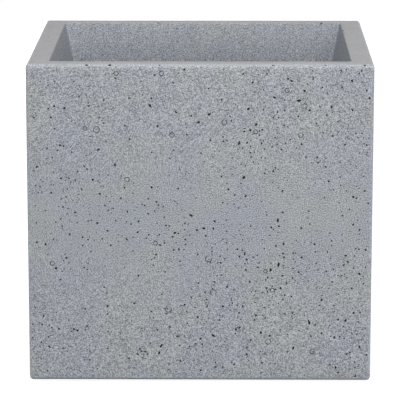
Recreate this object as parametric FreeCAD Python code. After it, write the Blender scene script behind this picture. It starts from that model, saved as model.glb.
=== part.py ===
import FreeCAD, Part
import math
import os

# A square, double-walled planter box, moulded in one hollow piece with a cast-stone face.
# It stands on four rubber pads and drains through a screwed fitting in the middle of its floor.
# Millimetres. Origin: centre of the footprint, on the ground. +Z is up and the front wall faces -Y.

# Moulded body
width = 390.0               # outside, across the rim, both ways
height = 363.0              # from the underside of the base ring to the rim
wall_lean = 1.3             # how far each outer wall leans in from rim to base
skin = 3.5                  # thickness of the moulded wall
rim_width = 25.0            # flat rim, from the outer wall to the well
corner_radius = 4.5         # upright outer corners
least_corner = 0.5          # of any wall that lies inside them
rim_outer_radius = 4.0      # rounded outer edge of the rim
rim_inner_radius = 1.5      # rounded inner edge of the rim
base_edge_radius = 4.0      # rounded lower edge
well_draft = 12.0           # degrees that the well's walls lean in towards its floor
well_corner_rim = 6.0       # upright corner radius of the well at the rim
well_corner_floor = 14.0    # and at the floor
floor_radius = 12.0         # where the well's walls meet its floor
ring_width = 40.0           # the base ring, around the recess in the underside
recess_corner = 22.0        # corner radius of that recess
recess_flare = 2.0          # how much wider the recess is at its mouth, each side
recess_depth = 6.0          # into the base, from the base ring
floor_fuse = 0.2            # how far the floor's skin runs into the base's, under the sump

# Foot pads, each held by a screw in a brass insert moulded into the base
pad_radius = 15.0
pad_stand = 2.5             # how far a pad stands below the base ring
pad_pocket_depth = 3.0      # how far it sits in its pocket
pad_gap = 0.4               # around the pad in its pocket
pad_from_side = 31.0        # pad centre to the outside of the base
pad_bore_gap = 0.3          # around the screw's shank in the pad and its washer
foot_screw_radius = 2.5
foot_screw_length = 11.0    # shank, below the head
foot_socket_flats = 3.0
foot_head_radius = 4.75
foot_head_height = 1.7
foot_head_clear = 0.6       # from the ground to the head
foot_washer_radius = 7.5
foot_washer_thick = 1.0
washer_pocket_gap = 0.25    # around the washer in the pad
insert_radius = 4.5
insert_length = 12.0
insert_groove = 0.6         # depth of the two grooves that key it into the plastic
insert_groove_width = 2.0
insert_grooves = (0.3, 0.7)      # their middles, as shares of the insert's length
insert_wall = 4.0           # plastic around and above the insert
thread_gap = 0.05           # between a screw and its thread, drawn as plain cylinders

# Drain: a flanged fitting through the fused floor, its nut below, and a screwed plug
ground_clear = 3.0          # under the plug's grip
grip_height = 4.5
grip_length = 26.0
grip_thick = 5.0
plug_head_radius = 15.5
plug_head_thick = 3.0
plug_seal_thick = 1.5
plug_seal_width = 3.0
fitting_bore = 11.5         # radius
plug_thread_gap = 0.1       # around the plug's thread in the fitting
plug_thread_length = 15.0
plug_core_wall = 2.5        # the plug is a cup, open at the top
fitting_wall = 3.5
fitting_show = 2.0          # thread showing below the nut
nut_height = 8.0
nut_flats = 42.0
nut_chamfer = 1.2
washer_thick = 1.5
washer_radius = 23.0
gasket_inset = 0.3          # its edge to the flange's edge
gasket_thick = 1.5
flange_radius = 24.0
flange_thick = 3.0
tube_gap = 0.4              # around the fitting's tube in the floor and in what it passes through
pocket_ceiling_radius = 34.0
pocket_mouth_radius = 40.0
sump_depth = 9.5            # sump floor to well floor
sump_floor_radius = 35.0
sump_mouth_radius = 39.0

# Strainer: a slotted cap that stands in the sump over the drain
strainer_gap = 1.5          # from its skirt to the sump's wall, at the sump's floor
strainer_wall = 1.8
strainer_below_floor = 1.0  # its plate lies this far below the well's floor
slot_rings = (9.5, 17.0, 24.5)   # mean radii of the rings of slots
slot_count = (8, 14, 20)
slot_length = 5.0           # along the radius
slot_width = 2.2
notch_count = 10            # openings in the skirt that let the water under it
notch_width = 6.0
notch_height = 4.0
knob_radius = 4.0
knob_height = 3.5

# Vent plug: closes the hole that let the mould breathe
vent_from_centre = 105.0    # in front of the drain, along -Y
vent_radius = 1.8
vent_gap = 0.1
vent_head_radius = 4.5
vent_head_thick = 1.5
vent_barb_radius = 2.4
vent_barb_length = 3.0
vent_tip_radius = 1.2

# Rounded edges of the small pieces, as shares of the thickness that they round
flange_edge = 0.3           # the fitting's flange, and the heads of the plugs
pad_edge = 0.25             # lower edge of a pad, of its stand
cap_edge = 0.6              # the strainer's rim and the screw heads
knob_edge = 0.4             # of the knob's radius
grip_edge = 0.2             # lower edges of the plug's grip
grip_end = 0.45             # its upright ends

# Levels, from the ground up
base_z = pad_stand
top_z = base_z + height
pad_top = base_z + pad_pocket_depth
recess_z = base_z + recess_depth
head_z = ground_clear + grip_height
seal_z = head_z + plug_head_thick
tube_end_z = seal_z + plug_seal_thick
nut_z = tube_end_z + fitting_show
washer_z = nut_z + nut_height
ceiling_z = washer_z + washer_thick
sump_z = ceiling_z + 2 * skin - floor_fuse
gasket_top = sump_z + gasket_thick
flange_top = gasket_top + flange_thick
floor_z = sump_z + sump_depth
strainer_top = floor_z - strainer_below_floor

base_width = width - 2 * wall_lean
well_width = width - 2 * rim_width
well_lean = math.tan(math.radians(well_draft))
pad_place = base_width / 2 - pad_from_side
overrun = 1.0               # cutting shapes run this far past the face they open
level_error = 1e-4          # an edge this close to a height lies at it
up = FreeCAD.Vector(0, 0, 1)


def point(x, y, z):
    return FreeCAD.Vector(x, y, z)


def cylinder(radius, low, high, x=0.0, y=0.0):
    return Part.makeCylinder(radius, high - low, point(x, y, low))


def ring(inner, outer, low, high, x=0.0, y=0.0):
    return cylinder(outer, low, high, x, y).cut(cylinder(inner, low, high, x, y))


def hexagon(flats, low, high, x=0.0, y=0.0):
    """A six-sided prism, measured across its flats."""
    reach = flats / math.sqrt(3)
    turns = [math.radians(60 * side) for side in range(7)]
    corners = [point(x + reach * math.cos(a), y + reach * math.sin(a), low) for a in turns]
    return Part.Face(Part.makePolygon(corners)).extrude(point(0, 0, high - low))


def block(low_size, low_radius, low_z, high_size, high_radius, high_z):
    """A square block with sloping sides and round upright corners, centred on the Z axis."""
    low, high = low_size / 2, high_size / 2
    solid = Part.makeWedge(-low, low_z, -low, -high, -high, low, high_z, low, high, high)
    solid.rotate(point(0, 0, 0), point(1, 0, 0), 90)
    corners = [edge for edge in solid.Edges if edge.BoundBox.ZLength > (high_z - low_z) / 2]
    if low_radius == high_radius:
        return solid.makeFillet(low_radius, corners)
    return solid.makeFillet(low_radius, high_radius, corners)


def edges_at(shape, z, reach=math.inf):
    """The edges that lie level at height z, no further than reach from the Z axis."""
    found = []
    for edge in shape.Edges:
        box = edge.BoundBox
        level = max(abs(box.ZMin - z), abs(box.ZMax - z)) < level_error
        if level and max(abs(box.XMin), abs(box.XMax), abs(box.YMin), abs(box.YMax)) < reach:
            found.append(edge)
    return found


def joined(solids):
    """Several separate solids in one node."""
    return Part.makeCompound(solids)


def foot_places():
    return [(sx * pad_place, sy * pad_place) for sy in (-1, 1) for sx in (-1, 1)]


def outer_block(inset):
    """The box that the outer walls enclose, or one that lies inset from them, with sharp rims."""
    corner = max(corner_radius - inset, least_corner)
    low, high = base_z + inset, top_z - inset
    lean = wall_lean / height
    sizes = [width - 2 * inset - 2 * lean * (top_z - z) for z in (low, high)]
    return block(sizes[0], corner, low, sizes[1], corner, high)


def well_shape(grow):
    """The planting well, or a shape that lies grow outside it. It runs past the rim."""
    low, high = floor_z - grow, top_z + overrun
    per_height = (well_corner_floor - well_corner_rim) / (top_z - floor_z)
    sizes = [well_width + 2 * grow - 2 * well_lean * (top_z - z) for z in (low, high)]
    corners = [well_corner_rim + grow + per_height * (top_z - z) for z in (low, high)]
    well = block(sizes[0], corners[0], low, sizes[1], corners[1], high)
    return well.makeFillet(floor_radius + grow, edges_at(well, low))


def recess_shape(grow):
    """The shallow recess inside the base ring."""
    size = base_width - 2 * ring_width + 2 * grow
    corner = recess_corner + grow
    mouth = size + 2 * recess_flare
    return block(mouth, corner, base_z - overrun, size, corner, recess_z + grow)


def drain_pocket(grow):
    """The deeper round pocket over the nut and the plug."""
    low = base_z - overrun
    flare = (pocket_mouth_radius - pocket_ceiling_radius) / (ceiling_z - recess_z)
    radii = [pocket_ceiling_radius + grow + flare * (ceiling_z - z) for z in (low, ceiling_z)]
    return Part.makeCone(radii[0], radii[1], ceiling_z + grow - low, point(0, 0, low))


def sump_shape(grow, high):
    """The dish in the well's floor that leads to the drain, up to the height given."""
    flare = (sump_mouth_radius - sump_floor_radius) / sump_depth
    radii = [sump_floor_radius + grow, sump_floor_radius + grow + flare * (high - sump_z + grow)]
    return Part.makeCone(radii[0], radii[1], high - sump_z + grow, point(0, 0, sump_z - grow))


def foot_pockets(grow):
    radius = pad_radius + pad_gap + grow
    return [cylinder(radius, base_z - overrun, pad_top + grow, x, y) for x, y in foot_places()]


def insert_bosses():
    """Solid lumps inside the double wall, around the inserts."""
    top = pad_top + insert_length + insert_wall
    return [cylinder(insert_radius + insert_wall, pad_top, top, x, y) for x, y in foot_places()]


def air_gap():
    """The hollow between the walls."""
    grown = [well_shape(skin), recess_shape(skin), drain_pocket(skin), sump_shape(skin, floor_z)]
    return outer_block(skin).cut(grown + foot_pockets(skin) + insert_bosses())


def insert_solid(x, y):
    """A brass insert with two grooves that the plastic keys into."""
    top = pad_top + insert_length
    solid = cylinder(insert_radius, pad_top, top, x, y)
    for share in insert_grooves:
        low = pad_top + share * insert_length - insert_groove_width / 2
        high = low + insert_groove_width
        solid = solid.cut(ring(insert_radius - insert_groove, insert_radius + overrun, low, high, x, y))
    return solid


def rim_edges(box, outer):
    """The rim's outer edges, or its inner ones."""
    inner = edges_at(box, top_z, well_width / 2 + overrun)
    if not outer:
        return inner
    return [edge for edge in edges_at(box, top_z) if not any(edge.isSame(other) for other in inner)]


def rounded_box():
    """The outer walls with the well sunk in them. The inner edge of the rim is rounded first."""
    box = outer_block(0.0).cut(well_shape(0.0))
    box = box.makeFillet(rim_inner_radius, rim_edges(box, False))
    box = box.makeFillet(rim_outer_radius, rim_edges(box, True))
    return box.makeFillet(base_edge_radius, edges_at(box, base_z))


def planter_body():
    """The hollow moulding: outer walls, rim, well, floor and base in one skin."""
    dished = [recess_shape(0.0), drain_pocket(0.0), sump_shape(0.0, floor_z + overrun)] + foot_pockets(0.0)
    vent_top = recess_z + skin + overrun
    holes = [
        cylinder(fitting_bore + fitting_wall + tube_gap, ceiling_z - overrun, sump_z + overrun),
        cylinder(vent_radius + vent_gap, recess_z - overrun, vent_top, 0, -vent_from_centre),
    ]
    holes += [insert_solid(x, y) for x, y in foot_places()]
    return rounded_box().cut(dished).cut(air_gap()).cut(holes)


def drain_fitting():
    """A flange and a tube in one, pushed down through the floor."""
    tube_radius = fitting_bore + fitting_wall
    flange = cylinder(flange_radius, gasket_top, flange_top)
    flange = flange.makeFillet(flange_thick * flange_edge, edges_at(flange, flange_top))
    return flange.fuse(cylinder(tube_radius, tube_end_z, gasket_top)).removeSplitter().cut(
        cylinder(fitting_bore, tube_end_z - overrun, flange_top + overrun))


def drain_gasket():
    return ring(fitting_bore + fitting_wall + tube_gap, flange_radius - gasket_inset, sump_z, gasket_top)


def drain_washer():
    return ring(fitting_bore + fitting_wall + tube_gap, washer_radius, washer_z, ceiling_z)


def drain_nut():
    """A hexagon nut, its lower corners turned off."""
    nut = hexagon(nut_flats, nut_z, washer_z)
    reach = nut_flats / math.sqrt(3)
    low, high = reach - nut_chamfer, reach + nut_height - nut_chamfer
    cone = Part.makeCone(low, high, nut_height, point(0, 0, nut_z))
    bore = cylinder(fitting_bore + fitting_wall + thread_gap, nut_z - overrun, washer_z + overrun)
    return nut.common(cone).cut(bore)


def drain_plug():
    """A screwed cup with a flat head and a bar to turn it by."""
    thread_top = tube_end_z + plug_thread_length
    radius = fitting_bore - plug_thread_gap
    head = cylinder(plug_head_radius, head_z, seal_z)
    head = head.makeFillet(plug_head_thick * flange_edge, edges_at(head, head_z))
    shank = cylinder(radius, seal_z, thread_top)
    bar = Part.makeBox(grip_length, grip_thick, grip_height + plug_head_thick / 2,
                       point(-grip_length / 2, -grip_thick / 2, ground_clear))
    ends = [edge for edge in bar.Edges if edge.BoundBox.ZLength > grip_height]
    bar = bar.makeFillet(grip_thick * grip_end, ends)
    bar = bar.makeFillet(grip_thick * grip_edge, edges_at(bar, ground_clear))
    cup = cylinder(radius - plug_core_wall, tube_end_z, thread_top + overrun)
    return head.fuse([shank, bar]).removeSplitter().cut(cup)


def plug_seal():
    inner = fitting_bore - plug_thread_gap + thread_gap
    return ring(inner, inner + plug_seal_width, seal_z, tube_end_z)


def strainer_slots():
    """Radial slots in rings, with round ends."""
    slots = []
    for mean, count in zip(slot_rings, slot_count):
        inner, outer = mean - slot_length / 2, mean + slot_length / 2
        for step in range(count):
            slot = Part.makeBox(slot_length, slot_width, strainer_wall + 2 * overrun,
                                point(inner, -slot_width / 2, strainer_top - strainer_wall - overrun))
            for end in (inner, outer):
                low, high = strainer_top - strainer_wall - overrun, strainer_top + overrun
                slot = slot.fuse(cylinder(slot_width / 2, low, high, end, 0))
            slot.rotate(point(0, 0, 0), up, 360 * step / count)
            slots.append(slot)
    return slots


def drain_strainer():
    """A slotted cap on a notched skirt, with a knob to lift it by."""
    outer = sump_floor_radius - strainer_gap
    cap = cylinder(outer, sump_z, strainer_top)
    cap = cap.makeFillet(strainer_wall * cap_edge, edges_at(cap, strainer_top))
    cap = cap.cut(cylinder(outer - strainer_wall, sump_z - overrun, strainer_top - strainer_wall))
    cap = cap.cut(strainer_slots())
    notches = []
    for step in range(notch_count):
        notch = Part.makeBox(outer + overrun, notch_width, notch_height + overrun,
                             point(outer - 2 * strainer_wall, -notch_width / 2, sump_z - overrun))
        notch.rotate(point(0, 0, 0), up, 360 * step / notch_count)
        notches.append(notch)
    knob = cylinder(knob_radius, strainer_top - strainer_wall / 2, strainer_top + knob_height)
    knob = knob.makeFillet(knob_radius * knob_edge, edges_at(knob, strainer_top + knob_height))
    return cap.cut(notches).fuse(knob).removeSplitter()


def vent_plug():
    """A push-in button with a barb above the skin."""
    skin_top = recess_z + skin
    barb_low = skin_top + thread_gap
    place = point(0, -vent_from_centre, barb_low)
    head = cylinder(vent_head_radius, recess_z - vent_head_thick, recess_z, 0, -vent_from_centre)
    head = head.makeFillet(vent_head_thick * flange_edge, edges_at(head, recess_z - vent_head_thick))
    stem = cylinder(vent_radius, recess_z, barb_low, 0, -vent_from_centre)
    barb = Part.makeCone(vent_barb_radius, vent_tip_radius, vent_barb_length, place)
    return head.fuse([stem, barb]).removeSplitter()


def foot_pad(x, y):
    """A rubber puck with a counterbore for the washer and the screw's head."""
    head_top = foot_head_clear + foot_head_height
    pad = cylinder(pad_radius, 0, pad_top, x, y)
    pad = pad.makeFillet(pad_stand * pad_edge, edges_at(pad, 0))
    opening = cylinder(foot_washer_radius + washer_pocket_gap, -overrun, head_top + foot_washer_thick, x, y)
    return pad.cut([opening, cylinder(foot_screw_radius + pad_bore_gap, 0, pad_top + overrun, x, y)])


def foot_washer(x, y):
    low = foot_head_clear + foot_head_height
    return ring(foot_screw_radius + pad_bore_gap, foot_washer_radius, low, low + foot_washer_thick, x, y)


def foot_screw(x, y):
    """A button-headed screw with a hexagon socket. Its thread is drawn plain."""
    head_top = foot_head_clear + foot_head_height
    head = cylinder(foot_head_radius, foot_head_clear, head_top, x, y)
    head = head.makeFillet(foot_head_height * cap_edge, edges_at(head, foot_head_clear))
    shank = cylinder(foot_screw_radius - thread_gap, head_top, head_top + foot_screw_length, x, y)
    socket = hexagon(foot_socket_flats, foot_head_clear - overrun, head_top, x, y)
    return head.fuse(shank).removeSplitter().cut(socket)


def foot_insert(x, y):
    bore = cylinder(foot_screw_radius, pad_top - overrun, pad_top + insert_length + overrun, x, y)
    return insert_solid(x, y).cut(bore)


def main():
    """Every piece, written under the name of its node."""
    places = foot_places()
    pieces = {
        "planter_body": planter_body(),
        "drain_fitting": drain_fitting(),
        "drain_gasket": drain_gasket(),
        "drain_washer": drain_washer(),
        "drain_nut": drain_nut(),
        "drain_plug": drain_plug(),
        "drain_plug_seal": plug_seal(),
        "drain_strainer": drain_strainer(),
        "vent_plug": vent_plug(),
        "foot_washers": joined([foot_washer(x, y) for x, y in places]),
        "foot_screws": joined([foot_screw(x, y) for x, y in places]),
        "foot_inserts": joined([foot_insert(x, y) for x, y in places]),
    }
    for (x, y), name in zip(places, ("front_left", "front_right", "rear_left", "rear_right")):
        pieces["foot_pad_" + name] = foot_pad(x, y)
    os.makedirs("parts", exist_ok=True)
    for name, shape in pieces.items():
        shape.exportStep("parts/" + name + ".step")
        print(name, len(shape.Solids), "solid", round(shape.Volume / 1000, 2), "cm3")


main()
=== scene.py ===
import bpy
import math
import random
from mathutils import Matrix, Vector


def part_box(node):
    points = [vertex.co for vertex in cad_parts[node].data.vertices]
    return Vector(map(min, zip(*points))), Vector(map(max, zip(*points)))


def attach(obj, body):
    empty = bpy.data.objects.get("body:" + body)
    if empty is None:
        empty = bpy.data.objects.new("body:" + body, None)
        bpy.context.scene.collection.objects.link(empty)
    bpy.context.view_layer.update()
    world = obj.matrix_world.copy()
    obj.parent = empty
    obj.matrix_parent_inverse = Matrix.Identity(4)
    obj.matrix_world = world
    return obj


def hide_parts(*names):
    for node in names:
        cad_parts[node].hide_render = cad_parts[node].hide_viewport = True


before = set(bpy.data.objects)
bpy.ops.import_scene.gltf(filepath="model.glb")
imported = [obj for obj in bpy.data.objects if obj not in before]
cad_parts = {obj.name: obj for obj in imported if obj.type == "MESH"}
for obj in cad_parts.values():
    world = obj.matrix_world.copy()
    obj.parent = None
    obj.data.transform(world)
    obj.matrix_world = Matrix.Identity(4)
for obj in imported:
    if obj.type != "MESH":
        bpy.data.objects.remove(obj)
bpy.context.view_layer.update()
bodyLow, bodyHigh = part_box("planter_body")
mm = 0.001
closeEnough = 0.02 * mm
roundSegments = 72                # of the round cutters
padCorners = ("front_left", "front_right", "rear_left", "rear_right")


def clearSelection():
    if bpy.context.object and bpy.context.object.mode != 'OBJECT':
        bpy.ops.object.mode_set(mode='OBJECT')
    bpy.ops.object.select_all(action='DESELECT')


def activate(piece):
    clearSelection()
    piece.select_set(True)
    bpy.context.view_layer.objects.active = piece


def pick(piece, kind, test):  # selects the parts of a mesh that pass the test, and stays in edit mode
    activate(piece)
    bpy.ops.object.mode_set(mode='EDIT')
    bpy.ops.mesh.select_mode(type={"polygons": 'FACE', "edges": 'EDGE', "vertices": 'VERT'}[kind])
    bpy.ops.mesh.select_all(action='DESELECT')
    bpy.ops.object.mode_set(mode='OBJECT')
    spots = [vertex.co for vertex in piece.data.vertices]
    for item in getattr(piece.data, kind):
        corners = [item.co] if kind == "vertices" else [spots[i] for i in item.vertices]
        item.select = test(item, corners)
    bpy.ops.object.mode_set(mode='EDIT')


def near(value, target):
    return abs(value - target) < closeEnough


def level(corners, z):
    return all(near(corner.z, z) for corner in corners)


def reach(spot):  # distance from the middle, measured square to the walls
    return max(abs(spot.x), abs(spot.y))


def settle(piece, name):  # the finished mesh keeps its place, and its object goes to the origin
    activate(piece)
    bpy.ops.object.transform_apply(location=True, rotation=True, scale=True)
    piece.name = name
    piece.data.name = name


def carve(piece, cutter, solver='EXACT'):
    activate(piece)
    cut = piece.modifiers.new("carve", 'BOOLEAN')
    cut.operation = 'DIFFERENCE'
    cut.solver = solver
    cut.object = cutter
    cut.material_mode = 'TRANSFER'
    bpy.ops.object.modifier_apply(modifier=cut.name)
    bpy.data.objects.remove(cutter, do_unlink=True)


def coneCutter(lowRadius, lowZ, highRadius, highZ, x=0.0, y=0.0):
    clearSelection()
    bpy.ops.mesh.primitive_cone_add(vertices=roundSegments, radius1=lowRadius, radius2=highRadius,
                                    depth=highZ - lowZ, location=(x, y, (lowZ + highZ) / 2))
    return bpy.context.object


def addBlock(low, high):
    clearSelection()
    bpy.ops.mesh.primitive_cube_add(size=1, location=(low + high) / 2)
    block = bpy.context.object
    block.scale = high - low
    bpy.ops.object.transform_apply(location=True, rotation=True, scale=True)
    return block


planter = {
    "lean": 1.3 * mm,             # each wall, from rim to base
    "edgeRadius": 4.2 * mm,       # every outer edge
    "edgeSegments": 5,
    "rimWidth": 25.0 * mm,
    "rimInnerRadius": 1.5 * mm,
    "rimInnerSegments": 4,
    "wellFloor": 39.8 * mm,       # above the ground
    "wellDraft": 12.0,            # degrees
    "wellCornerRim": 6.0 * mm,
    "wellCornerFloor": 14.0 * mm,
    "wellCornerSegments": 10,
    "floorRadius": 12.0 * mm,
    "floorSegments": 6,
    "wallCuts": 20,               # the walls' grid, which keeps the faces round the pores small
    "smoothAngle": 32,
}


def buildPlanter():
    p = planter
    rimZ = bodyHigh.z
    piece = addBlock(bodyLow, bodyHigh)
    pick(piece, "polygons", lambda face, corners: level(corners, bodyLow.z))
    baseShare = 1 - p["lean"] / bodyHigh.x
    bpy.ops.transform.resize(value=(baseShare, baseShare, 1), center_override=(0, 0, 0))
    bpy.ops.mesh.select_all(action='SELECT')
    bpy.ops.mesh.bevel(offset=p["edgeRadius"], segments=p["edgeSegments"], affect='EDGES')

    # the well: its mouth is inset in the rim, its floor pushed down and drawn in
    wellHalf = bodyHigh.x - p["rimWidth"]
    depth = rimZ - p["wellFloor"]
    pick(piece, "polygons", lambda face, corners: level(corners, rimZ))
    bpy.ops.mesh.inset(thickness=p["rimWidth"] - p["edgeRadius"])
    bpy.ops.mesh.extrude_region_move(TRANSFORM_OT_translate={"value": (0, 0, -depth)})
    floorShare = 1 - depth * math.tan(math.radians(p["wellDraft"])) / wellHalf
    bpy.ops.transform.resize(value=(floorShare, floorShare, 1), center_override=(0, 0, 0))

    # its upright corners widen downwards: one radius all the way, then drawn in at the rim
    pick(piece, "edges", lambda edge, corners: near(sum(c.z for c in corners), rimZ + p["wellFloor"]))
    bpy.ops.mesh.bevel(offset=p["wellCornerFloor"], segments=p["wellCornerSegments"], affect='EDGES')
    cornerShare = p["wellCornerRim"] / p["wellCornerFloor"]
    arcStart = wellHalf - p["wellCornerFloor"] - mm
    for sx in (-1, 1):
        for sy in (-1, 1):
            pick(piece, "vertices", lambda vertex, corners:
                 near(vertex.co.z, rimZ) and reach(vertex.co) < wellHalf + mm
                 and vertex.co.x * sx > arcStart and vertex.co.y * sy > arcStart)
            bpy.ops.transform.resize(value=(cornerShare, cornerShare, 1),
                                     center_override=(sx * wellHalf, sy * wellHalf, rimZ))
    pick(piece, "edges", lambda edge, corners:
         level(corners, rimZ) and all(reach(c) < wellHalf + mm for c in corners))
    bpy.ops.mesh.bevel(offset=p["rimInnerRadius"], segments=p["rimInnerSegments"], affect='EDGES')
    pick(piece, "edges", lambda edge, corners: level(corners, p["wellFloor"]))
    bpy.ops.mesh.bevel(offset=p["floorRadius"], segments=p["floorSegments"], affect='EDGES')

    # a grid on the outer walls
    outside = bodyHigh.x - 2 * p["edgeRadius"]
    spacing = 2 * bodyHigh.x / p["wallCuts"]
    for axis, start in ((0, -bodyHigh.x), (1, -bodyHigh.x), (2, bodyLow.z)):
        normal = Vector([float(i == axis) for i in range(3)])
        for step in range(1, p["wallCuts"]):
            place = start + step * spacing
            if place > bodyHigh[axis] - spacing / 2:
                break
            pick(piece, "polygons", lambda face, corners: reach(face.center) > outside)
            bpy.ops.mesh.bisect(plane_co=normal * place, plane_no=normal)
    bpy.ops.object.mode_set(mode='OBJECT')
    print("planter: walls, rim and well", len(piece.data.polygons), "faces")
    return piece


base = {
    "ringWidth": 40.0 * mm,       # round the recess below
    "recessTop": 8.5 * mm,
    "recessCorner": 22.0 * mm,
    "recessSegments": 8,
    "pocketTop": 23.5 * mm,       # round pocket for the drain's nut
    "pocketRadius": 34.0 * mm,
    "pocketMouth": 40.0 * mm,
    "sumpFloor": 30.3 * mm,
    "sumpRadius": 35.0 * mm,
    "sumpMouth": 39.0 * mm,
    "sumpOver": 1.0 * mm,         # how far the cutter stands above the well's floor
    "drainHole": 15.4 * mm,
    "padPocket": 15.4 * mm,
    "padPocketTop": 5.5 * mm,
}


def carveBase(piece):
    p = base
    below = bodyLow.z - mm
    half = bodyHigh.x - planter["lean"] - p["ringWidth"]
    recess = addBlock(Vector((-half, -half, below)), Vector((half, half, p["recessTop"])))
    pick(recess, "edges", lambda edge, corners: abs(corners[0].z - corners[1].z) > mm)
    bpy.ops.mesh.bevel(offset=p["recessCorner"], segments=p["recessSegments"], affect='EDGES')
    bpy.ops.object.mode_set(mode='OBJECT')
    carve(piece, recess)
    carve(piece, coneCutter(p["pocketMouth"], p["recessTop"] - mm, p["pocketRadius"], p["pocketTop"]))
    sumpTop = planter["wellFloor"] + p["sumpOver"]
    flare = p["sumpOver"] * (p["sumpMouth"] - p["sumpRadius"]) / (planter["wellFloor"] - p["sumpFloor"])
    carve(piece, coneCutter(p["sumpRadius"], p["sumpFloor"], p["sumpMouth"] + flare, sumpTop))
    carve(piece, coneCutter(p["drainHole"], p["pocketTop"] - mm, p["drainHole"], p["sumpFloor"] + mm))
    for name in padCorners:
        low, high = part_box("foot_pad_" + name)
        spot = (low + high) / 2
        carve(piece, coneCutter(p["padPocket"], below, p["padPocket"], p["padPocketTop"], spot.x, spot.y))
    print("planter: base, pocket and sump", len(piece.data.polygons), "faces")


pores = {
    "seed": 11,
    "pit": (0.47 * mm, 0.75 * mm),   # smallest radius of the many small ones, and the most added to it
    "hole": (0.75 * mm, 0.65 * mm),  # the same for the few larger ones
    "holeShare": 0.058,
    "rarity": 2.4,                # how rare the largest of each kind are
    "depth": (1.3, 2.2),          # times the radius
    "stretch": (0.85, 1.2),       # width as a share of the height
    "longStretch": (1.2, 2.2),    # the same for the few long ones
    "longShare": 0.12,
    "uneven": 0.2,                # how far the points of a shape move, as a share of its radius
    "longer": 0.12,               # each shape is this much longer than the one before
    "room": 1.5,                  # kept clear round a pore, times its half width
    "cell": 10 * mm,              # of the grid that finds neighbours
    "gap": 0.2 * mm,              # between neighbours
    "edgeKeep": 1.0 * mm,         # clear of the rounded edges
    "shapes": 5,                  # of each of these kinds, by segments and rings
    "kinds": {"hole": (7, 6), "pit": (5, 4), "speck": (4, 3)},
    "speckBelow": 0.62 * mm,      # a pit under this radius has the plainest shape
    # crowded places on each wall: across and up in shares of it, their widths, and how many pores
    "crowds": {
        "front": [
            (0.80, 0.84, 0.10, 0.12, 100), (0.64, 0.70, 0.10, 0.12, 110), (0.96, 0.80, 0.04, 0.18, 70),
            (0.16, 0.58, 0.10, 0.07, 100), (0.08, 0.62, 0.05, 0.08, 50), (0.40, 0.46, 0.12, 0.06, 70),
            (0.60, 0.38, 0.07, 0.09, 110), (0.85, 0.33, 0.12, 0.10, 150), (0.66, 0.18, 0.12, 0.10, 120),
            (0.95, 0.28, 0.05, 0.20, 110), (0.05, 0.26, 0.05, 0.12, 60), (0.42, 0.14, 0.22, 0.08, 120),
        ],
        "right": [
            (0.25, 0.70, 0.14, 0.14, 150), (0.70, 0.40, 0.16, 0.12, 180), (0.45, 0.15, 0.22, 0.08, 140),
            (0.88, 0.80, 0.08, 0.12, 80),
        ],
        "back": [
            (0.30, 0.35, 0.14, 0.14, 180), (0.75, 0.65, 0.14, 0.14, 150), (0.60, 0.15, 0.20, 0.08, 140),
            (0.15, 0.80, 0.10, 0.10, 80),
        ],
        "left": [
            (0.65, 0.72, 0.14, 0.12, 160), (0.30, 0.45, 0.14, 0.14, 190), (0.70, 0.20, 0.18, 0.10, 160),
        ],
    },
    "strays": {"front": 720, "right": 480, "back": 480, "left": 480},  # the rest, anywhere on a wall
    # chips in the rim's inner edge and pits in its flat: place in metres, and radius in mm
    "rim": [(0.1705, 0.097, 1.7), (0.1705, 0.066, 1.3), (0.1465, 0.1705, 1.4), (-0.055, 0.1705, 1.0),
            (-0.148, -0.178, 0.7), (0.181, -0.061, 0.6), (-0.183, 0.035, 0.7), (0.020, -0.184, 0.6)],
    "rimStretch": 1.4,
    # pits in the rounded front edge of the rim: across in shares of the wall, radius in mm
    "edge": [(0.176, 1.1), (0.242, 1.3), (0.385, 0.7), (0.71, 0.8), (0.86, 0.7), (0.972, 1.0)],
    "edgeStretch": 1.2,
}
wallTurns = {"front": 0, "right": 90, "back": 180, "left": 270}


def wallPlace(wall, across, up, sink=0.0):  # shares of a wall to a matrix there, with Y pointing inwards
    turn = Matrix.Rotation(math.radians(wallTurns[wall]), 4, 'Z')
    share = (up - 1) * planter["lean"]
    spot = Vector(((across - 0.5) * 2 * bodyHigh.x, -bodyHigh.x - share + sink,
                   bodyLow.z + up * (bodyHigh.z - bodyLow.z)))
    return turn @ Matrix.Translation(spot)


def rimPlace(x, y):  # a place on the flat rim, with Y pointing down
    return Matrix.Translation(Vector((x, y, bodyHigh.z))) @ Matrix.Rotation(math.radians(-90), 4, 'X')


def poreShapes(rng, material, segments, rings):  # a few unlike pores, one metre in radius, to be scaled
    shapes = []
    for number in range(pores["shapes"]):
        clearSelection()
        bpy.ops.mesh.primitive_uv_sphere_add(segments=segments, ring_count=rings, radius=1)
        shape = bpy.context.object
        bpy.ops.object.mode_set(mode='EDIT')
        bpy.ops.mesh.select_all(action='SELECT')
        bpy.ops.transform.vertex_random(offset=pores["uneven"], seed=rng.randrange(1000))
        bpy.ops.transform.resize(value=(1 + pores["longer"] * number, 1, 1))
        bpy.ops.object.mode_set(mode='OBJECT')
        shape.data.materials.append(material)
        shapes.append(shape)
    return shapes


def copyTo(shape, matrix):
    made = shape.copy()
    made.data = shape.data.copy()
    made.matrix_world = matrix
    bpy.context.collection.objects.link(made)
    return made


def joinAll(pieces):
    clearSelection()
    for piece in pieces:
        piece.select_set(True)
    bpy.context.view_layer.objects.active = pieces[0]
    bpy.ops.object.join()
    bpy.ops.object.transform_apply(location=True, rotation=True, scale=True)
    return bpy.context.object


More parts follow.
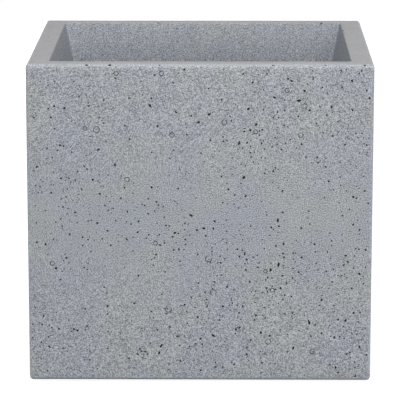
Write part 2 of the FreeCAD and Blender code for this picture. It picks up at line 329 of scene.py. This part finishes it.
class Spacing:  # a coarse grid that tells whether a new pore touches an earlier one
    def __init__(self, cell):
        self.cell = cell
        self.taken = {}

    def free(self, x, z, radius):
        column, row = int(x // self.cell), int(z // self.cell)
        for i in range(column - 1, column + 2):
            for j in range(row - 1, row + 2):
                for ox, oz, other in self.taken.get((i, j), ()):
                    if math.hypot(x - ox, z - oz) < radius + other + pores["gap"]:
                        return False
        self.taken.setdefault((column, row), []).append((x, z, radius))
        return True


def poreCutter(wall, shapes, rng):
    width, height = 2 * bodyHigh.x, bodyHigh.z - bodyLow.z
    keep = planter["edgeRadius"] + pores["edgeKeep"]
    spacing = Spacing(pores["cell"])
    made = []

    def addPore(x, z):
        large = rng.random() < pores["holeShare"]
        least, more = pores["hole"] if large else pores["pit"]
        r = least + more * rng.random() ** pores["rarity"]
        stretched = "longStretch" if rng.random() < pores["longShare"] else "stretch"
        stretch = rng.uniform(*pores[stretched])
        onWall = keep < x < width - keep and keep < z < height - keep
        if not onWall or not spacing.free(x, z, r * stretch * pores["room"]):
            return
        deep = r * rng.uniform(*pores["depth"])
        turned = Matrix.Rotation(rng.uniform(0, math.tau), 4, 'Y')
        kind = "hole" if large else "speck" if r < pores["speckBelow"] else "pit"
        size = Matrix.Diagonal((r * stretch, deep, r, 1))
        spot = wallPlace(wall, x / width, z / height)
        made.append(copyTo(rng.choice(shapes[kind]), spot @ turned @ size))

    for across, up, spreadX, spreadZ, count in pores["crowds"][wall]:
        for number in range(count):
            addPore(rng.gauss(across, spreadX) * width, rng.gauss(up, spreadZ) * height)
    for number in range(pores["strays"][wall]):
        addPore(rng.random() * width, rng.random() * height)
    return joinAll(made), len(made)


def rimCutter(shapes, rng):
    made = []
    # how far the middle of the rounded edge lies inside the corner
    bevelled = planter["edgeRadius"] * (1 - math.sqrt(0.5))
    for across, radius in pores["edge"]:
        up = 1 - bevelled / (bodyHigh.z - bodyLow.z)
        r = radius * mm
        size = Matrix.Diagonal((r * pores["edgeStretch"], r, r, 1))
        made.append(copyTo(rng.choice(shapes), wallPlace("front", across, up, bevelled) @ size))
    for x, y, radius in pores["rim"]:
        r = radius * mm
        turned = Matrix.Rotation(rng.uniform(0, math.tau), 4, 'Y')
        size = Matrix.Diagonal((r * pores["rimStretch"], r, r, 1))
        made.append(copyTo(rng.choice(shapes), rimPlace(x, y) @ turned @ size))
    return joinAll(made)


dents = {
    "count": 9,                   # rings left by bubbles, anywhere on each wall
    "across": (0.05, 0.95),       # shares of the wall that they keep to
    "up": (0.08, 0.95),
    "radius": (1.9 * mm, 3.6 * mm),
    "groove": 0.5 * mm,
    "segments": 18,               # round the ring, and round its groove
    "grooveSegments": 6,
    "proud": 0.1 * mm,            # how far a ring's middle line stands out of the wall
    "tilt": 7,                    # degrees: a tilted ring leaves an arc
    "tiltShare": (0.3, 1),
    # more rings on the front: across and up in shares of it, radius in mm, tilt as a share, turn in degrees
    "frontRings": [(0.26, 0.972, 2.5, 0.3, 0), (0.39, 0.972, 2.6, 0.8, 60), (0.17, 0.80, 2.2, 0.6, 120),
                   (0.29, 0.64, 2.6, 0.8, 200), (0.75, 0.92, 2.4, 0.5, 30), (0.80, 0.87, 3.0, 0.8, 250),
                   (0.79, 0.78, 2.7, 0.7, 330), (0.66, 0.79, 2.3, 0.7, 90), (0.42, 0.78, 2.6, 0.5, 180),
                   (0.57, 0.82, 2.7, 0.9, 10), (0.71, 0.29, 2.4, 0.7, 170), (0.69, 0.35, 2.0, 0.8, 270)],
    # worn cracks on the front: across, up, length and width in mm, turn in degrees
    "frontCracks": [(0.942, 0.152, 5.0, 0.42, 62), (0.953, 0.162, 3.6, 0.36, 118),
                    (0.935, 0.165, 2.6, 0.36, 20), (0.69, 0.085, 3.4, 0.5, 25),
                    (0.72, 0.055, 2.8, 0.45, -15), (0.965, 0.945, 4.2, 0.35, -20)],
    "crackDepth": 0.7 * mm,
}


def crackCutter(shapes, rng):
    made = []
    for across, up, length, width, turn in dents["frontCracks"]:
        turned = Matrix.Rotation(math.radians(turn), 4, 'Y')
        size = Matrix.Diagonal((length * mm / 2, dents["crackDepth"], width * mm, 1))
        made.append(copyTo(rng.choice(shapes), wallPlace("front", across, up) @ turned @ size))
    return joinAll(made)


def dentCutter(wall, rng, material):
    rings = []
    for number in range(dents["count"]):
        rings.append((rng.uniform(*dents["across"]), rng.uniform(*dents["up"]),
                      rng.uniform(*dents["radius"]) / mm, rng.uniform(*dents["tiltShare"]),
                      rng.uniform(0, 360)))
    if wall == "front":
        rings += dents["frontRings"]
    made = []
    for across, up, radius, share, turn in rings:
        clearSelection()
        bpy.ops.mesh.primitive_torus_add(major_radius=radius * mm, minor_radius=dents["groove"],
                                         major_segments=dents["segments"],
                                         minor_segments=dents["grooveSegments"],
                                         rotation=(math.radians(90), 0, 0))
        ring = bpy.context.object
        bpy.ops.object.transform_apply(location=False, rotation=True, scale=False)
        tilt = Matrix.Rotation(math.radians(dents["tilt"] * share), 4, 'X')
        turned = Matrix.Rotation(math.radians(turn), 4, 'Y')
        ring.matrix_world = wallPlace(wall, across, up, -dents["proud"]) @ turned @ tilt
        ring.data.materials.append(material)
        made.append(ring)
    return joinAll(made)


def addPores(piece, poreShadeFinish, creaseShadeFinish):
    rng = random.Random(pores["seed"])
    shapes = {kind: poreShapes(rng, poreShadeFinish, *faces) for kind, faces in pores["kinds"].items()}
    for wall in pores["crowds"]:
        cutter, count = poreCutter(wall, shapes, rng)
        carve(piece, dentCutter(wall, rng, creaseShadeFinish), 'MANIFOLD')
        carve(piece, cutter, 'MANIFOLD')
        print("pores:", wall, count)
    carve(piece, crackCutter(shapes["hole"], rng), 'MANIFOLD')
    carve(piece, rimCutter(shapes["hole"], rng), 'MANIFOLD')
    for shape in sum(shapes.values(), []):
        bpy.data.objects.remove(shape, do_unlink=True)
    triangles = sum(len(face.vertices) - 2 for face in piece.data.polygons)
    print("planter with its pores:", triangles, "triangles")


class Wire:  # a socket that Python's operators work on
    def __init__(self, tree, socket=None):
        self.tree = tree
        self.socket = socket

    def node(self, kind, settings, values, out=0):  # any node: settings first, then values or links
        made = self.tree.nodes.new(kind)
        for name, value in settings.items():
            setattr(made, name, value)
        for name, value in values.items():
            if isinstance(value, Wire):
                self.tree.links.new(value.socket, made.inputs[name])
            else:
                made.inputs[name].default_value = value
        return Wire(self.tree, made.outputs[out])

    def maths(self, operation, first, second=0.0):
        return self.node("ShaderNodeMath", {"operation": operation}, {0: first, 1: second})

    def __add__(self, other):
        return self.maths("ADD", self, other)

    def __radd__(self, other):
        return self.maths("ADD", other, self)

    def __sub__(self, other):
        return self.maths("SUBTRACT", self, other)

    def __rsub__(self, other):
        return self.maths("SUBTRACT", other, self)

    def __mul__(self, other):
        return self.maths("MULTIPLY", self, other)

    def __rmul__(self, other):
        return self.maths("MULTIPLY", other, self)

    def __pow__(self, other):
        return self.maths("POWER", self, other)

    def unsigned(self):
        return self.maths("ABSOLUTE", self)

    def between(self, low, high):  # 0 below low, 1 above high, smooth between
        return self.node("ShaderNodeMapRange", {"interpolation_type": 'SMOOTHSTEP'},
                         {0: self, 1: low, 2: high})

    def noise(self, size, detail, roughness):  # size of its blots in metres
        return self.node("ShaderNodeTexNoise", {}, {"Vector": self, "Scale": 1 / size, "Detail": detail,
                                                    "Roughness": roughness})

    def cells(self, size):  # distance from the middle of the nearest cell
        return self.node("ShaderNodeTexVoronoi", {"feature": 'F1'}, {"Vector": self, "Scale": 1 / size})

    def mixed(self, first, second):  # this as the factor between two colours
        return self.node("ShaderNodeMix", {"data_type": 'RGBA'}, {0: self, 6: first, 7: second}, 2)

    def tinted(self, amount):  # a colour brightened or darkened by a number
        grey = self.node("ShaderNodeCombineXYZ", {}, {0: amount, 1: amount, 2: amount})
        return self.node("ShaderNodeVectorMath", {"operation": 'MULTIPLY'}, {0: self, 1: grey})

    def bump(self, distance, strength):
        return self.node("ShaderNodeBump", {}, {"Height": self, "Distance": distance, "Strength": strength})

    def axis(self, number):
        return self.node("ShaderNodeSeparateXYZ", {}, {0: self}, number)


black = (0.0, 0.0, 0.0, 1.0)
white = (1.0, 1.0, 1.0, 1.0)


def tone(red, green, blue):  # a display colour, 0 to 255, as a scene colour
    return tuple((c / 255) ** 2.2 for c in (red, green, blue)) + (1.0,)


def dimmed(colour, share):
    return tuple(c * share for c in colour[:3]) + (1.0,)


def cameraRays(tree):  # 1 for what the camera sees directly
    return Wire(tree).node("ShaderNodeLightPath", {}, {}, "Is Camera Ray")


def newMaterial(name, **fixed):  # the material, its shader and the object's own coordinates
    material = bpy.data.materials.new(name)
    material.use_nodes = True
    tree = material.node_tree
    shader = tree.nodes["Principled BSDF"]
    for socket, value in fixed.items():
        shader.inputs[socket.replace("_", " ")].default_value = value
    place = Wire(tree).node("ShaderNodeTexCoord", {}, {}, "Object")
    return material, shader, place


def feed(shader, **wires):
    for socket, wire in wires.items():
        wire.tree.links.new(wire.socket, shader.inputs[socket.replace("_", " ")])


stone = {
    "blue": tone(147, 151, 159),      # the two casts of the mottling; the blue one also tints the well's painted shade
    "green": tone(150, 154, 156),
    "rim": tone(153, 153, 155),       # the rim is a little warmer and smoother
    "rimBand": (1.2 * mm, 0.4 * mm),  # depths below the rim where its finish starts and is full
    "rimCalm": 0.6,                   # how much weaker its grain is
    "edgeBand": (8.0 * mm, 4.0 * mm),  # the same for the painted highlight on its rounded edges
    "edgePaintedHighlight": 0.07,                # painted highlight: how much paler the rounded edges of the rim are
    "cornerPaintedHighlight": 0.16,              # painted highlight on the upright corners of the well, how much paler they are
    "cornerBand": (0.44 * mm, 1.54 * mm),  # of the corners' painted highlight: from the line where two walls meet, to where it ends
    "wellBand": (2.0 * mm, 6.0 * mm),  # outside the well's mouth, where what is inside ends
    "wellPaintedShade": 0.34,            # painted shade on the well's walls, darker with depth
    "darkDepth": 110 * mm,            # below the rim, where it is full
    "darkStart": 22 * mm,             # above the rim, where it would start
    "patch": 60 * mm,                 # size of the mottling
    "patchBand": (0.38, 0.62),
    "cloud": 24 * mm,
    "cloudShare": 0.16,
    "grain": 1.15 * mm,
    "grainShare": 2.9,
    "sand": 3.45 * mm,
    "sandShare": 0.1,
    "speck": 2.07 * mm,               # spacing of the scattered dark grains
    "speckBand": (0.08, 0.24),
    "speckShare": 0.3,
    "roughness": 0.82,
    "grainRoughness": 0.2,
    "specular": 0.35,
    "sandHeight": 1.5,                # heights in the bump, beside the grain's
    "cloudHeight": 4.0,
    "bumpDepth": 0.25 * mm,
    "bumpStrength": 0.6,
    "pore": tone(47, 49, 52),         # painted shade inside the pores
    "poreDark": 0.5,                  # how dark their darker blots are
    "crease": tone(70, 73, 77),       # painted shade inside the rings
    "creaseDark": 0.8,
    "poreBlot": 1.5 * mm,
    "poreSpecular": 0.2,
    "poreRoughness": 0.85,
}


def stoneMaterial():
    material, shader, place = newMaterial("castStoneFace", Specular_IOR_Level=stone["specular"])
    x, y, height = place.axis(0), place.axis(1), place.axis(2)
    across, away = x.unsigned(), y.unsigned()

    # where the rim, its rounded edge, the well's corners and the well's painted shade are; the edge and the
    # corners get a painted highlight
    rimStart, rimFull = stone["rimBand"]
    rim = height.between(bodyHigh.z - rimStart, bodyHigh.z - rimFull)
    edgeStart, edgeFull = stone["edgeBand"]
    edge = height.between(bodyHigh.z - edgeStart, bodyHigh.z - edgeFull) * (1 - rim)
    outwards = x.maths("MAXIMUM", across, away)
    wellHalf = bodyHigh.x - planter["rimWidth"]
    insideEnd, outsideStart = stone["wellBand"]
    inside = 1 - outwards.between(wellHalf + insideEnd, wellHalf + outsideStart)
    corner = 1 - (across - away).unsigned().between(*stone["cornerBand"])
    # painted highlight: paler colour on the rim's rounded outer edge and on the well's upright corners
    paintedHighlight = edge * (1 - inside) * stone["edgePaintedHighlight"] + corner * inside * (1 - rim) * stone["cornerPaintedHighlight"]
    # painted shade: the well's walls darker with depth below the rim
    deep = 1 - height.between(bodyHigh.z - stone["darkDepth"], bodyHigh.z + stone["darkStart"])
    paintedWellShade = 1 - inside * deep * stone["wellPaintedShade"]

    # mottling, clouds, sand and grain
    patches = place.noise(stone["patch"], 3.0, 0.55)
    # deep in the well the cast turns to the blue one: painted shade
    cast = (patches.between(*stone["patchBand"]) + inside * deep).mixed(stone["green"], stone["blue"])
    cast = rim.mixed(cast, stone["rim"])
    grain = place.noise(stone["grain"], 1.0, 0.6) - 0.5
    sand = place.noise(stone["sand"], 1.0, 0.5) - 0.5
    cloud = place.noise(stone["cloud"], 2.0, 0.5) - 0.5
    calm = 1 - rim * stone["rimCalm"]
    speckle = (grain * stone["grainShare"] + sand * stone["sandShare"]) * calm
    light = 1 + speckle + cloud * stone["cloudShare"] + paintedHighlight
    speck = place.cells(stone["speck"]).between(*stone["speckBand"])
    pale = 1 - stone["speckShare"] + stone["speckShare"] * speck

    # the colour carries the grain, the painted highlight and the well's painted shade
    feed(shader, Base_Color=cast.tinted(light * paintedWellShade * pale))
    feed(shader, Roughness=stone["roughness"] + grain * stone["grainRoughness"])
    bumps = grain + sand * stone["sandHeight"] + cloud * stone["cloudHeight"]
    feed(shader, Normal=bumps.bump(stone["bumpDepth"], stone["bumpStrength"]))
    return material


def paintedShadeMaterial(name, colour, dark):  # painted shade: dark rough stone inside the pores and creases
    material, shader, place = newMaterial(name, Specular_IOR_Level=stone["poreSpecular"])
    shade = place.noise(stone["poreBlot"], 2.0, 0.6)
    feed(shader, Base_Color=shade.mixed(colour, dimmed(colour, dark)))
    feed(shader, Roughness=stone["poreRoughness"] + shade * (1 - stone["poreRoughness"]))
    return material


hardware = {
    # colour and roughness of each plastic and metal
    "drainPlastic": (tone(38, 38, 40), 0.42),
    "plugPlastic": (tone(52, 52, 55), 0.48),
    "footSteel": (tone(196, 196, 198), 0.32),
    "insertBrass": (tone(205, 172, 96), 0.34),
    "drainRubber": tone(30, 30, 31),
    "padRubber": tone(46, 46, 48),
    "pebble": 0.7 * mm,           # the spark-eroded grain of the plastic
    "pebbleDepth": 0.04 * mm,
    "pebbleStrength": 0.5,
    "blot": 9 * mm,               # uneven shine and colour of the plastic
    "blotDark": 0.75,
    "blotRoughness": 0.2,
    "plasticSpecular": 0.45,
    "dust": 6 * mm,               # patches of dust on the rubber
    "dustBand": (0.45, 0.75),
    "dustPale": 0.03,
    "dustRoughness": 0.2,
    "rubberRoughness": 0.72,
    "rubberGrain": 0.5 * mm,
    "rubberDepth": 0.05 * mm,
    "rubberStrength": 0.6,
    "rubberSpecular": 0.3,
    "turning": 9000.0,            # how close the turning marks on the metal are
    "turningDepth": 0.01 * mm,
    "turningStrength": 0.4,
    "turningRoughness": 0.05,
    "wear": 3 * mm,               # handling marks on the metal
    "wearDark": 0.7,
    "wearRoughness": 0.25,
}


def mouldedMaterial(name):  # injection moulded plastic with a fine grain
    colour, roughness = hardware[name]
    material, shader, place = newMaterial(name, Specular_IOR_Level=hardware["plasticSpecular"])
    pebble = place.cells(hardware["pebble"]) - 0.5
    blot = place.noise(hardware["blot"], 3.0, 0.6)
    feed(shader, Base_Color=blot.mixed(dimmed(colour, hardware["blotDark"]), colour))
    feed(shader, Roughness=roughness + (blot - 0.5) * hardware["blotRoughness"])
    feed(shader, Normal=pebble.bump(hardware["pebbleDepth"], hardware["pebbleStrength"]))
    return material


def rubberMaterial(name):
    colour = hardware[name]
    material, shader, place = newMaterial(name, Specular_IOR_Level=hardware["rubberSpecular"])
    dust = place.noise(hardware["dust"], 4.0, 0.65).between(*hardware["dustBand"])
    pale = tuple(c + hardware["dustPale"] for c in colour[:3]) + (1.0,)
    feed(shader, Base_Color=dust.mixed(colour, pale))
    feed(shader, Roughness=hardware["rubberRoughness"] + dust * hardware["dustRoughness"])
    grain = place.noise(hardware["rubberGrain"], 2.0, 0.5)
    feed(shader, Normal=grain.bump(hardware["rubberDepth"], hardware["rubberStrength"]))
    return material


def turnedMetal(name, centres):  # fine turning marks round the nearest foot's centre
    colour, roughness = hardware[name]
    material, shader, place = newMaterial(name, Metallic=1.0)
    away = place.axis(0).unsigned() - centres
    across = place.axis(1).unsigned() - centres
    radius = (away * away + across * across) ** 0.5
    marks = radius.maths("SINE", radius * hardware["turning"]) * 0.5 + 0.5
    wear = place.noise(hardware["wear"], 4.0, 0.6)
    feed(shader, Base_Color=wear.mixed(dimmed(colour, hardware["wearDark"]), colour))
    uneven = (wear - 0.5) * hardware["wearRoughness"] + marks * hardware["turningRoughness"]
    feed(shader, Roughness=roughness + uneven)
    feed(shader, Normal=marks.bump(hardware["turningDepth"], hardware["turningStrength"]))
    return material


def dress(material, *nodes):  # CAD nodes keep their shape and get a finish
    for node in nodes:
        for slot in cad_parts[node].material_slots:
            slot.material = material


def dressHardware():
    dress(mouldedMaterial("drainPlastic"), "drain_fitting", "drain_nut", "drain_strainer")
    dress(mouldedMaterial("plugPlastic"), "drain_plug", "vent_plug")
    dress(rubberMaterial("drainRubber"), "drain_gasket", "drain_washer", "drain_plug_seal")
    dress(rubberMaterial("padRubber"), *("foot_pad_" + name for name in padCorners))
    low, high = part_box("foot_pad_rear_right")
    centre = (low.x + high.x) / 2
    dress(turnedMetal("footSteel", centre), "foot_screws", "foot_washers")
    dress(turnedMetal("insertBrass", centre), "foot_inserts")
    print("materials on the hardware")


studio = {
    "sky": 0.25,                  # strength that lights the object
    "backdrop": 1.05,             # strength that the camera sees
    # place, width across, power
    "lamps": {
        "frontLamp": ((0.2, -2.0, 0.72), 1.0, 30.5),
        "topLamp": ((0.12, -0.2, 3.0), 0.9, 57.0),
        "rearLamp": ((-0.7, 3.0, 0.12), 0.45, 62.0),
        "leftLamp": ((-3.0, 0.4, 0.12), 0.45, 52.0),
        "rightLamp": ((3.0, 0.2, 0.12), 0.45, 52.0),
    },
    "aim": (0.0, 0.0, 0.2),       # what every lamp points at
    "floorSize": 90.0,
    "floorShade": 0.2,            # how much light the floor sends back
    "floorGlow": 0.91,            # added for the camera, so that it looks white
    "floorRoughness": 0.9,
    "floorDrop": 0.3 * mm,        # below the pads
}


def addLamp(name, place, size, power):
    bpy.ops.object.light_add(type='AREA', location=place)
    lamp = bpy.context.object
    lamp.name = name
    lamp.data.shape = 'DISK'
    lamp.data.size = size
    lamp.data.energy = power
    lamp.visible_camera = False
    lamp.rotation_euler = (Vector(studio["aim"]) - Vector(place)).to_track_quat('-Z', 'Y').to_euler()


def addStudio():
    clearSelection()
    bpy.ops.mesh.primitive_plane_add(size=studio["floorSize"], location=(0, 0, -studio["floorDrop"]))
    floor = bpy.context.object
    settle(floor, "floor")
    shade = studio["floorShade"]
    material, shader, place = newMaterial("paleFloor", Roughness=studio["floorRoughness"],
                                          Base_Color=(shade, shade, shade, 1),
                                          Emission_Strength=studio["floorGlow"])
    feed(shader, Emission_Color=cameraRays(material.node_tree).mixed(black, white))
    floor.data.materials.append(material)

    world = bpy.data.worlds.new("studio")
    bpy.context.scene.world = world
    world.use_nodes = True
    tree = world.node_tree
    background = tree.nodes["Background"]
    background.inputs["Color"].default_value = white
    feed(background, Strength=cameraRays(tree) * (studio["backdrop"] - studio["sky"]) + studio["sky"])
    for name, (place, size, power) in studio["lamps"].items():
        addLamp(name, place, size, power)
    bpy.context.scene.view_settings.view_transform = 'Standard'
    print("floor and lights")


lens = {
    "place": (0.0327, -3.4486, 0.8282),
    "pitch": 10.731,              # degrees down
    "yaw": 0.572,                 # degrees to the left
    "focal": 265.0,               # on a 36 mm sensor
    "farthest": 200.0,            # metres that it sees
}


def addCamera():
    bpy.ops.object.camera_add(location=lens["place"],
                              rotation=(math.radians(90 - lens["pitch"]), 0, math.radians(lens["yaw"])))
    camera = bpy.context.object
    camera.data.lens = lens["focal"]
    camera.data.clip_end = lens["farthest"]
    bpy.context.scene.camera = camera
    print("camera")


addCamera()
addStudio()
box = buildPlanter()
carveBase(box)
box.data.materials.clear()
box.data.materials.append(stoneMaterial())
# dark colours inside the pores, cracks and rings: painted shade
poreShadeFinish = paintedShadeMaterial("castStonePoreShade", stone["pore"], stone["poreDark"])
creaseShadeFinish = paintedShadeMaterial("castStoneCreaseShade", stone["crease"], stone["creaseDark"])
addPores(box, poreShadeFinish, creaseShadeFinish)
settle(box, "planterShell")
bpy.ops.object.shade_smooth_by_angle(angle=math.radians(planter["smoothAngle"]))
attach(box, "planter")
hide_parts("planter_body")
dressHardware()
